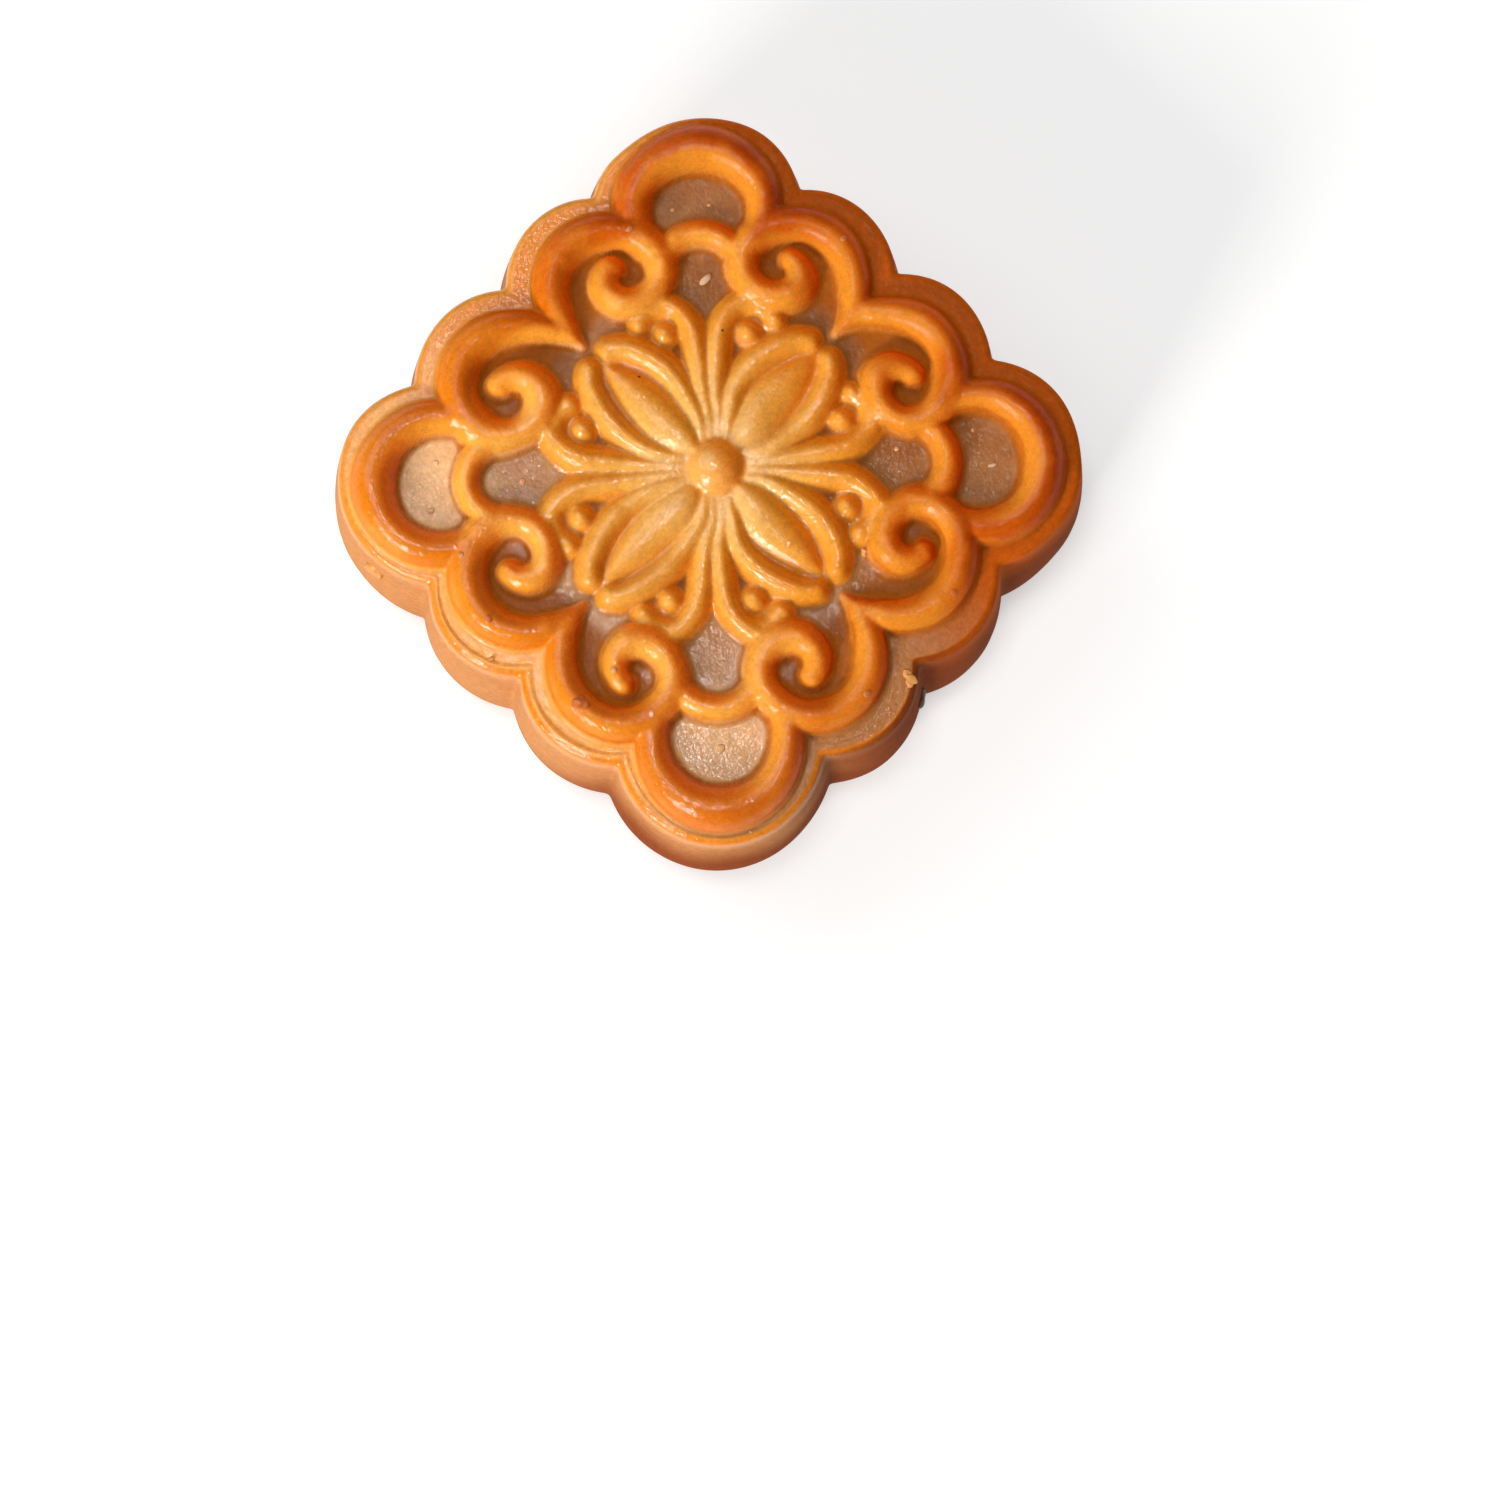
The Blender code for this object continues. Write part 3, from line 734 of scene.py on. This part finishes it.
def crust_material(look):
    """Baked dough under a glaze: browned ridges, pale flanks, dark hollows, and painted shade and sheen."""
    nodes = NodeTree("baked_crust")
    mask, spread, mix, tinted = nodes.attribute, nodes.spread, nodes.mix, nodes.tinted
    times, higher = nodes.times, nodes.higher
    names = ("rise", "outer", "browning", "crevice", "far_side", "wall", "pale", "deep", "inner_foot")
    rise, outer, browning, crevice, far_side, wall, pale, deep, inner_foot = [mask(name) for name in names]
    patches = nodes.noise(6.0, 3.0)
    mottle = nodes.noise(0.9, 3.0, 0.6)
    speckle = nodes.noise(0.32, 2.0, 0.6)
    dimples = nodes.noise(0.48, 2.0, 0.55)
    grain = nodes.noise(1.7, 3.0, 0.55)

    # Tops of the ridges: the flower golden, the outer ridges toasted in patches
    flower = mix(mask("heart"), look.flower, look.heart)
    flower = mix(mask("dome"), flower, look.dome)
    # Browned petal ends, partly painted shade: weaker on the side towards the light
    tips = times(mask("tips"), spread(patches, 0.3, 0.65, 0.6, 1.0))
    flower = mix(tips, flower, look.tip_browned_and_shaded)
    toast = nodes.combine("ADD", browning, spread(mottle, 0.3, 0.7, -0.18, 0.18))
    toast = times(spread(toast, 0.1, 1.0), browning)
    toast = times(toast, spread(patches, 0.36, 0.6, 0.6, 1.1), True)
    toasted = mix(mask("light_brown"), look.browned, look.browned_light)
    tops = mix(toast, mix(outer, flower, look.crest), toasted)

    # Flanks: paler towards the foot, toned by the cake's side, with painted shade on sides away from the light
    outer_side = times(nodes.combine("SUBTRACT", outer, inner_foot), pale)
    low = mix(outer, look.flower_low, look.flank)
    low = mix(outer_side, low, look.flank_sunny)
    low = mix(times(spread(rise, 0.45, 0.1), inner_foot), low, look.foot)
    lifted = nodes.combine("ADD", rise, spread(patches, 0.3, 0.7, -0.14, 0.14))
    browned = higher(spread(lifted, 0.12, 0.65), times(toast, 0.75))
    colour = mix(browned, low, tops)
    baked = mix(outer, WHITE, (0.94, 0.84, 0.7))
    baked = mix(pale, baked, mix(outer, WHITE, (1.08, 1.12, 1.1)))
    baked = mix(mask("soft_curl"), baked, (1.15, 1.4, 2.2))
    colour = tinted(1.0, colour, baked)
    # Painted shade on the outer flanks of the south side, where they are little browned
    shaded = times(mask("flank_dark"), spread(browned, 0.2, 0.95, 1.0, 0.0))
    colour = tinted(shaded, colour, (0.78, 0.6, 0.35))
    # Painted shade: slopes turned towards +X, away from the low main light, are tinted a deeper, more saturated
    # orange
    tint = mix(outer, (1.0, 0.6, 0.07), mix(toast, (1.0, 0.42, 0.03), (0.88, 0.6, 0.2)))
    colour = tinted(mask("lee"), colour, tint)

    # Ledge, floors and wall
    colour = mix(mask("soft_ledge"), colour, look.ledge_pale)
    # Painted shade on the ledge towards -Y, where the glaze is also kept duller
    colour = mix(mask("dull_ledge"), colour, look.ledge_dull_shade)
    # Painted sheen lightens the floors towards -X, and painted shade darkens the deepest wells
    lightness = nodes.combine("ADD", mask("light_floor"), spread(patches, 0.35, 0.65, -0.06, 0.06))
    lightness = times(lightness, spread(deep, 0.0, 0.7, 1.0, 0.0), True)
    floor_tone = mix(deep, mix(lightness, look.hollow, look.hollow_lit_sheen), look.crevice)
    colour = mix(mask("hollow"), colour, floor_tone)
    colour = mix(wall, colour, look.wall)
    # Browned foot of the wall, and painted shade on the wall turned from the light
    colour = mix(mask("scorched"), colour, look.scorched)
    # Painted shade on the ledge and wall away from the main light
    colour = mix(far_side, colour, look.far_side)
    # Painted shade, partly pooled glaze, in the narrow grooves
    colour = mix(crevice, colour, look.crevice)
    colour = mix(mask("edge_line"), colour, look.edge)
    colour = tinted(1.0, colour, spread(mottle, 0.3, 0.7, 0.9, 1.06))
    colour = tinted(1.0, colour, spread(speckle, 0.3, 0.7, 0.91, 1.07))

    # Finish: matt on the wall and in the deepest places, and dimpled under the glaze
    rough = spread(mottle, 0.3, 0.7, look.roughness - 0.05, look.roughness + 0.08)
    rough = higher(rough, times(higher(wall, far_side), 0.75))
    dull = higher(higher(wall, higher(deep, crevice)), times(far_side, 0.8))
    glaze = times(mask("gloss"), look.glaze)
    grained = nodes.bump(grain, 0.25, 0.12 * MM)
    return nodes.finished({
        "Base Color": colour,
        "Roughness": rough,
        "Normal": nodes.bump(dimples, 0.5, 0.06 * MM, grained),
        "Coat Normal": nodes.bump(dimples, 1.0, 0.12 * MM, grained),
        "Coat Weight": times(glaze, spread(dull, 0.0, 1.0, 1.0, 0.05)),
        "Coat Roughness": 0.07,
        "Coat IOR": 1.5,
        "Specular IOR Level": 0.02,
        "Subsurface Weight": 0.15,
        "Subsurface Radius": (1.0, 0.4, 0.12),
        "Subsurface Scale": 1.0 * MM,
    })


def lump_material(name, light, dark, gloss):
    """Dough between two colours, after each lump's tone."""
    nodes = NodeTree(name)
    mottle = nodes.noise(0.5, 2.0, 0.6)
    colour = nodes.mix(nodes.attribute("tone"), light, dark)
    return nodes.finished({
        "Base Color": nodes.tinted(1.0, colour, nodes.spread(mottle, 0.3, 0.7, 0.85, 1.05)),
        "Normal": nodes.bump(mottle, 0.4, 0.08 * MM),
        "Roughness": 0.5,
        "Specular IOR Level": 0.15,
        "Coat Weight": gloss,
        "Coat Roughness": 0.15,
    })


def depth_inside(plan):
    """How far inside the ledge's outline each point is."""
    return np.maximum.reduce([radius - length_of(plan - centre) for centre, radius in lobes()])


def ledge_height(plan, inward):
    """Height of the bare ledge: a shallow groove inside a low rounded lip, both fading in and out."""
    strength = (0.75 + 0.35 * waves(plan, 16.0, seed=21)) * folded_side(plan)
    strength *= 1 - 0.8 * ramp(plan[:, 0] - 2.0 * plan[:, 1], 12.0, 34.0)
    lip = 0.16 * np.exp(-((inward - 0.9) / 0.24) ** 2)
    groove = 0.09 * np.exp(-((inward - 1.4) / 0.2) ** 2)
    return (lip - groove) * strength


def softened(relief, column, row, rounds):
    """The relief at a square grid's vertices, evened out as soft dough does."""
    grid = np.zeros((column.max() + 1, row.max() + 1))
    grid[column, row] = relief
    for _ in range(rounds):
        middle = grid[1:-1, 1:-1]
        around = (grid[2:, 1:-1] + grid[:-2, 1:-1] + grid[1:-1, 2:] + grid[1:-1, :-2]) / 4
        grid[1:-1, 1:-1] = middle + EASING * (around - middle)
    return grid[column, row]


def crust_masks(plan, height, face_height, on_face, outside, belongs, normals):
    """Where each colour and finish of the crust lies, as a share from 0 to 1 for each vertex, painted shade and
    sheen included.
    """
    x, y = plan.T
    drop = LEDGE_HEIGHT - height
    pattern = pattern_place(plan)[0]
    reach = np.max(np.abs(plan), axis=-1)
    past_crest = outward(plan)
    inward = depth_inside(plan)

    # Floors and grooves, with painted shade in the narrow grooves and the deepest wells
    hollow = np.where(on_face & ~outside, 1 - ramp(face_height, -0.05, 0.25), 0.0)
    narrow = ramp(hollowness(plan, 0.7), 0.1, 0.55)
    soft_foot = 0.5 - 0.42 * ramp(-x - 0.3 * y, -10.0, 12.0)
    in_corner = ramp(np.min(np.abs(pattern), axis=-1), 14.2, 16.4)
    in_well = ramp(folded(pattern)[:, 0], 19.0, 21.5) * (1 - in_corner)
    deep = ramp(hollowness(plan, 2.2), 1.3, 2.1)
    deep = np.maximum(deep, 0.75 * hollow * in_well) * on_face * ~outside
    western = ramp(-x + 0.4 * y, -16.0, 22.0)
    southwestern = ramp(-x - 0.2 * y, -20.0, 24.0)

    # Browning of the outer ridges
    toasted = ramp(reach + 1.2 * waves(plan, 9.0, seed=33), 18.0, 25.0)
    browning = toasted * belongs * ramp(past_crest, -1.9, 0.6) * ramp(face_height, 0.1, 0.9)
    middle_sides = ramp(13.0 - np.min(np.abs(plan), axis=-1), 0.0, 6.0)
    browning *= 1 - 0.55 * middle_sides * ramp(x - y, 10.0, 24.0)
    browning *= 1.08 - 0.22 * ramp(-x - 0.5 * y, 0.0, 30.0)
    curled = 0.5 * belongs * ramp(face_height, 1.5, 2.4) * ramp(waves(plan, 8.0, seed=39), -0.9, 0.9)
    pale = ramp(0.6 * y - x + 2.5 * waves(plan, 16.0, seed=36), -26.0, 26.0)

    # Ledge and wall, with painted shade on the side away from the light
    near_edge = (reach > 24.0) & (drop < 0.6)
    # Painted shade: the side of the ledge and wall turned away from the main light
    far_side = ramp(x - 0.3 * y + 1.5 * waves(plan, 18.0, seed=31), 6.0, 22.0)
    ragged = drop + 1.5 * waves(plan, 12.0, seed=35)
    bare = 1 - np.where(on_face, ramp(face_height, 0.2, 0.9), ramp(ragged, 0.3, 9.0))
    bare *= outside | ~on_face
    ledge = on_face * bare
    # Painted shade on the ledge towards -Y
    dull_ledge = ramp(-y + 1.5 * waves(plan, 10.0, seed=38), 14.0, 30.0) * ledge
    # Painted shade on the wall turned from the main light, towards +X and -Y
    shaded = ramp(x - y + 2 * waves(plan, 15.0, seed=34), 0.0, 26.0)
    southern = ramp(-y, 0.0, 20.0)
    # Darker towards the foot of the wall, more so on the south side
    low = ramp(ragged + 9 * southern, 9.0, 25.0 - 2 * southern)
    unseen = 0.3 * ramp(x + y, 0.0, 25.0)
    scorched = np.where(on_face, 0.0, np.maximum(shaded, low * (0.35 + 0.65 * southern)) * (1 - unseen))

    # Flower
    from_dome = length_of(pattern)
    spot = np.exp(-(length_of(pattern - np.array((0.1, 1.0))) / 1.3) ** 2)

    # Glaze
    ridge_gloss = 0.35 + 0.6 * ramp(-x, -5.0, 32.0)
    ridge_gloss *= 1 - 0.45 * ramp(past_crest, 0.2, 1.6)
    gloss = belongs * ridge_gloss + (1 - belongs) * 0.9
    gloss = np.where(bare > 0.5, 0.9 - 0.6 * dull_ledge, gloss)
    floor_gloss = 0.3 + 0.7 * ramp(-x - 0.6 * y, -10.0, 25.0)
    return {
        "rise": np.clip(np.where(on_face, face_height / np.where(belongs > 0.5, 2.6, 1.9), 0.0), 0, 1.2),
        "outer": belongs,
        "browning": np.maximum(browning, curled),
        "hollow": hollow,
        # Painted shade in narrow grooves, lighter on the -X side that faces the light
        "crevice": np.where(outside, soft_foot, 0.3 + 0.7 * np.maximum(belongs, hollow)) * narrow * on_face,
        "deep": deep,
        "pale": pale,
        # Painted light and sheen on the floors towards -X
        "light_floor": in_corner * (0.1 + 0.9 * western) + (1 - in_corner) * 0.36 * southwestern,
        # Painted shade: the outer flanks on the south side
        "flank_dark": ramp(-y, -28.0, 26.0) * ramp(reach, 17.0, 22.0) * belongs,
        "soft_ledge": 0.9 * ramp(-x + 1.5 * waves(plan, 12.0, seed=37), 2.0, 20.0) * ledge,
        "dull_ledge": dull_ledge,
        "dome": (1 - ramp(from_dome, 2.8, 3.7)) * (1 - 0.9 * spot),
        # Outer petal ends, weaker on the side towards the light: partly painted shade
        "tips": ramp(from_dome, 8.5, 15.0) * (1 - 0.6 * ramp(pale, 0.2, 0.85)) * (1 - belongs),
        "heart": 1 - ramp(from_dome, 3.5, 10.5),
        # Painted shade: how far each slope is turned away from the low main light
        "lee": ramp(0.95 * normals[:, 0] - 0.2 * normals[:, 1], -0.35, 0.6) * on_face * (1 - hollow),
        "inner_foot": belongs * (1 - ramp(past_crest, -0.8, 0.4)),
        "light_brown": ramp(0.6 * y - x, 2.0, 30.0),
        "soft_curl": belongs * pale * (1 - ramp(reach, 18.5, 22.5)),
        "gloss": (gloss + hollow * (floor_gloss - gloss)) * (1 - scorched),
        "edge_line": 0.7 * np.exp(-((inward - 0.3) / 0.22) ** 2) * near_edge * folded_side(plan),
        "far_side": far_side * bare,
        "scorched": scorched,
        "wall": np.where(on_face, 0.0, ramp(drop, 0.2, 1.5)),
    }


class MOONCAKE_OT_crust(bpy.types.Operator):
    """Make the cake's crust, one closed mesh with the pattern, the ledge, the lobed wall and the base"""
    bl_idname = "mooncake.crust"
    bl_label = "Crust"

    def execute(self, context):
        shape = context.scene.mooncake_shape
        crust = bmesh.new()
        plan, wall_height, column, row = self.make_cells(crust, shape)
        on_face = np.isnan(wall_height)
        outside = outward(plan) > 0
        relief, belongs = face_relief(plan)
        relief[:len(column)] = softened(relief[:len(column)], column, row, shape.softening)
        bare = ledge_height(plan, depth_inside(plan))
        face_height = np.where(outside, np.maximum(relief, bare), relief)
        height = np.where(on_face, LEDGE_HEIGHT + face_height, wall_height)
        crust.verts.ensure_lookup_table()
        for vertex, (x, y), z in zip(crust.verts, swayed(plan), height):
            vertex.co = (x, y, z)
        bmesh.ops.recalc_face_normals(crust, faces=crust.faces)
        mesh = finished_mesh("mooncake_crust", crust)
        normals = np.zeros(3 * len(plan))
        mesh.vertex_normals.foreach_get("vector", normals)
        masks = crust_masks(plan, height, face_height, on_face, outside, belongs, normals.reshape(-1, 3))
        piece = add_piece(mesh, masks, crust_material(context.scene.mooncake_look))
        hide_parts("mooncake")
        return {"FINISHED"}

    @staticmethod
    def make_cells(crust, shape):
        """Makes the crust's faces, still flat.

        Gives each vertex's place in the plan, the height of those on the wall (the others have none), and the
        column and row of those on the face's grid.
        """
        half = shape.cells // 2
        points, shares = face_grid(shape.cells, shape.relax_steps)
        bmesh.ops.create_grid(crust, x_segments=shape.cells, y_segments=shape.cells, size=1.0)
        crust.verts.ensure_lookup_table()
        flat = np.array([vertex.co[:2] for vertex in crust.verts])
        column, row = np.rint((flat + 1) * half).astype(int).T
        step = np.rint(round_edge(column / half - 1, row / half - 1) * half).astype(int) % len(shares)
        edge_loop = [edge for edge in crust.edges if edge.is_boundary]
        share_of = {vertex: shares[step[vertex.index]] for edge in edge_loop for vertex in edge.verts}
        rings = [(offset, np.nan, 1.0) for offset in LEDGE_RINGS]
        rings += [(offset, height, 1.0) for offset, height in wall_rings(shape.wall_steps)]
        rings.append((-BASE_ROUND, 0.0, BASE_RING_SHARE))
        placed = []
        for offset, height, share in rings:
            extruded = bmesh.ops.extrude_edge_only(crust, edges=edge_loop)["geom"]
            edge_loop = [part for part in extruded if isinstance(part, bmesh.types.BMEdge)]
            new_share_of = {}
            for vertex in extruded:
                if isinstance(vertex, bmesh.types.BMVert):
                    neighbours = [edge.other_vert(vertex) for edge in vertex.link_edges]
                    new_share_of[vertex] = next(share_of[other] for other in neighbours if other in share_of)
            share_of = new_share_of
            placed.append((offset, height, share, share_of))
        bmesh.ops.holes_fill(crust, edges=edge_loop, sides=0)
        crust.verts.index_update()
        plan = np.zeros((len(crust.verts), 2))
        plan[:len(column)] = points[column, row]
        wall_height = np.full(len(plan), np.nan)
        for offset, height, share, members in placed:
            in_order = sorted(members, key=members.get)
            indices = [vertex.index for vertex in in_order]
            plan[indices] = outline(np.array([members[vertex] for vertex in in_order]), offset) * share
            wall_height[indices] = height
        return plan, wall_height, column, row


def on_surface(place):
    """A point of the face above or below a place in the plan, and the direction straight out of it."""
    step = 0.1
    around = np.array((place, (place[0] + step, place[1]), (place[0], place[1] + step)))
    height = face_relief(around)[0]
    if outward(around)[0] > 0:
        height = np.maximum(height, 0.0)
    x, y = swayed(around)[0]
    out = Vector((height[0] - height[1], height[0] - height[2], step)).normalized()
    return Vector((x, y, LEDGE_HEIGHT + height[0])), out


def add_lump(lumps, point, out, size, heading, craggy, seed):
    """Adds a rounded lump, flat side towards the surface. It is as craggy as asked, from 0 to about 0.5."""
    made = bmesh.ops.create_icosphere(lumps, subdivisions=3, radius=0.5)["verts"]
    ball = np.array([vertex.co for vertex in made])
    uneven = waves(ball[:, :2] + 0.7 * ball[:, 2:], 0.7, seed=50 + seed) * craggy
    for vertex, share in zip(made, uneven):
        vertex.co *= 1 + share
    bmesh.ops.scale(lumps, vec=size, verts=made)
    bmesh.ops.rotate(lumps, matrix=Matrix.Rotation(math.radians(heading), 3, "Z"), verts=made)
    bmesh.ops.rotate(lumps, matrix=out.to_track_quat("Z", "Y").to_matrix(), verts=made)
    bmesh.ops.translate(lumps, vec=point, verts=made)


def add_lumps(name, lumps, tones, material):
    """Makes a piece of the lumps, each with its own tone."""
    masks = {"tone": np.repeat(tones, len(lumps.verts) // len(tones))}
    add_piece(finished_mesh(name, lumps), masks, material)


class MOONCAKE_OT_blisters(bpy.types.Operator):
    """Make the small blisters that rose in the glaze on the ridges and floors"""
    bl_idname = "mooncake.blisters"
    bl_label = "Blisters"

    def execute(self, context):
        look = context.scene.mooncake_look
        lumps = bmesh.new()
        for index, (place, size, tone) in enumerate(BLISTERS):
            point, out = on_surface(place)
            craggy = 0.06 if size < 1.2 else 0.2
            across = (size, size * 0.85, size * 0.42)
            add_lump(lumps, point - out * size * 0.04, out, across, 40.0 * index, craggy, index)
        # The blisters' light tone is the floors' colour with its painted sheen
        material = lump_material("blister_dough", look.hollow_lit_sheen, look.browned, 0.6)
        add_lumps("dough_blisters", lumps, [blister[2] for blister in BLISTERS], material)
        return {"FINISHED"}


class MOONCAKE_OT_seeds(bpy.types.Operator):
    """Make the sesame seeds that lie on the floors"""
    bl_idname = "mooncake.seeds"
    bl_label = "Seeds"

    def execute(self, context):
        look = context.scene.mooncake_look
        lumps = bmesh.new()
        for index, (place, length, heading, tone) in enumerate(SEEDS):
            point, out = on_surface(place)
            thick = length * 0.3
            size = (length, length * 0.5, thick)
            add_lump(lumps, point + out * thick * 0.35, out, size, heading, 0.04, 20 + index)
        material = lump_material("sesame_seed", look.seed, look.hollow, 0.3)
        add_lumps("sesame_seeds", lumps, [seed[3] for seed in SEEDS], material)
        return {"FINISHED"}


class MOONCAKE_OT_crumbs(bpy.types.Operator):
    """Make the crumbs of dough on the face and the wall, and the dark specks"""
    bl_idname = "mooncake.crumbs"
    bl_label = "Crumbs"

    def execute(self, context):
        look = context.scene.mooncake_look
        lumps = bmesh.new()
        for index, (place, size, tone) in enumerate(FACE_CRUMBS):
            point, out = on_surface(place)
            add_lump(lumps, point + out * size[2] * 0.3, out, size, 70.0 * index, 0.3, 30 + index)
        for index, (place, size, tone) in enumerate(WALL_CRUMBS):
            x, y = min((np.array(place[:2]) - centre for centre, radius in lobes()), key=np.linalg.norm)
            out = Vector((x, y, 0.0)).normalized()
            add_lump(lumps, Vector(place), out, size, 50.0 * index, 0.25, 40 + index)
        material = lump_material("crumb_dough", look.foot, look.speck, 0.2)
        add_lumps("crumbs", lumps, [crumb[2] for crumb in FACE_CRUMBS + WALL_CRUMBS], material)
        return {"FINISHED"}


class MOONCAKE_OT_studio(bpy.types.Operator):
    """Make the pale floor, the soft lights and the camera"""
    bl_idname = "mooncake.studio"
    bl_label = "Studio"

    def execute(self, context):
        studio = context.scene.mooncake_studio
        self.make_floor(studio)
        for name, place, size, colour in LIGHTS:
            self.area_light(name, place, size, getattr(studio, name + "_power"), colour)
        world = bpy.data.worlds.new("studio")
        world.use_nodes = True
        background = world.node_tree.nodes["Background"]
        background.inputs["Color"].default_value = (1.0, 1.0, 1.0, 1.0)
        background.inputs["Strength"].default_value = studio.world_strength
        context.scene.world = world
        self.make_camera(context, studio)
        context.scene.view_settings.view_transform = "Standard"
        return {"FINISHED"}

    @staticmethod
    def make_floor(studio):
        plane = bmesh.new()
        bmesh.ops.create_grid(plane, x_segments=1, y_segments=1, size=FLOOR_HALF_SIDE)
        mesh = bpy.data.meshes.new("floor")
        plane.to_mesh(mesh)
        plane.free()
        mesh.materials.append(NodeTree("pale_floor").finished({
            "Base Color": studio.floor,
            "Roughness": 0.9,
            "Emission Color": WHITE,
            "Emission Strength": studio.floor_glow,
            "Specular IOR Level": 0.1,
        }))
        floor = link(bpy.data.objects.new("floor", mesh))

    @staticmethod
    def area_light(name, place, size, power, colour):
        """A rectangular area light that points at the cake."""
        data = bpy.data.lights.new(name, "AREA")
        data.shape = "RECTANGLE"
        data.size, data.size_y = size
        data.energy = power
        data.color = colour
        light = link(bpy.data.objects.new(name, data))
        light.location = place
        light.rotation_euler = (-Vector(place)).to_track_quat("-Z", "Y").to_euler()

    @staticmethod
    def make_camera(context, studio):
        """Looks down on the cake from a little in front, turned so that one corner points up the picture."""
        data = bpy.data.cameras.new("camera")
        data.lens = studio.lens
        data.sensor_width = 36.0
        data.clip_start = 0.01
        position = Vector((*CAMERA_PLACE, LEDGE_HEIGHT + CAMERA_RISE)) * MM
        target = Vector((*CAMERA_TARGET, LEDGE_HEIGHT)) * MM
        turn = math.radians(CAMERA_TURN)
        back = (position - target).normalized()
        right = Vector((math.cos(turn), math.sin(turn), 0.0))
        right = (right - back * right.dot(back)).normalized()
        up = back.cross(right)
        camera = link(bpy.data.objects.new("camera", data))
        camera.matrix_world = Matrix.Translation(position) @ Matrix((right, up, back)).transposed().to_4x4()
        context.scene.camera = camera


class MOONCAKE_PT_panel(bpy.types.Panel):
    """Lists the steps that make the cake"""
    bl_idname = "MOONCAKE_PT_panel"
    bl_label = "Mooncake"
    bl_space_type = "VIEW_3D"
    bl_region_type = "UI"
    bl_category = "Mooncake"

    def draw(self, context):
        for operator in OPERATORS:
            self.layout.operator(operator.bl_idname)


GROUPS = {"mooncake_shape": MooncakeShape, "mooncake_look": MooncakeLook, "mooncake_studio": MooncakeStudio}
OPERATORS = (
    MOONCAKE_OT_crust, MOONCAKE_OT_blisters, MOONCAKE_OT_seeds, MOONCAKE_OT_crumbs, MOONCAKE_OT_studio)


def register():
    for name, group in GROUPS.items():
        bpy.utils.register_class(group)
        setattr(bpy.types.Scene, name, PointerProperty(type=group))
    for operator in OPERATORS:
        bpy.utils.register_class(operator)
    bpy.utils.register_class(MOONCAKE_PT_panel)


def unregister():
    bpy.utils.unregister_class(MOONCAKE_PT_panel)
    for operator in reversed(OPERATORS):
        bpy.utils.unregister_class(operator)
    for name, group in GROUPS.items():
        delattr(bpy.types.Scene, name)
        bpy.utils.unregister_class(group)


def main():
    register()
    bpy.ops.mooncake.crust()
    bpy.ops.mooncake.blisters()
    bpy.ops.mooncake.seeds()
    bpy.ops.mooncake.crumbs()
    bpy.ops.mooncake.studio()


if __name__ == "__main__":
    main()
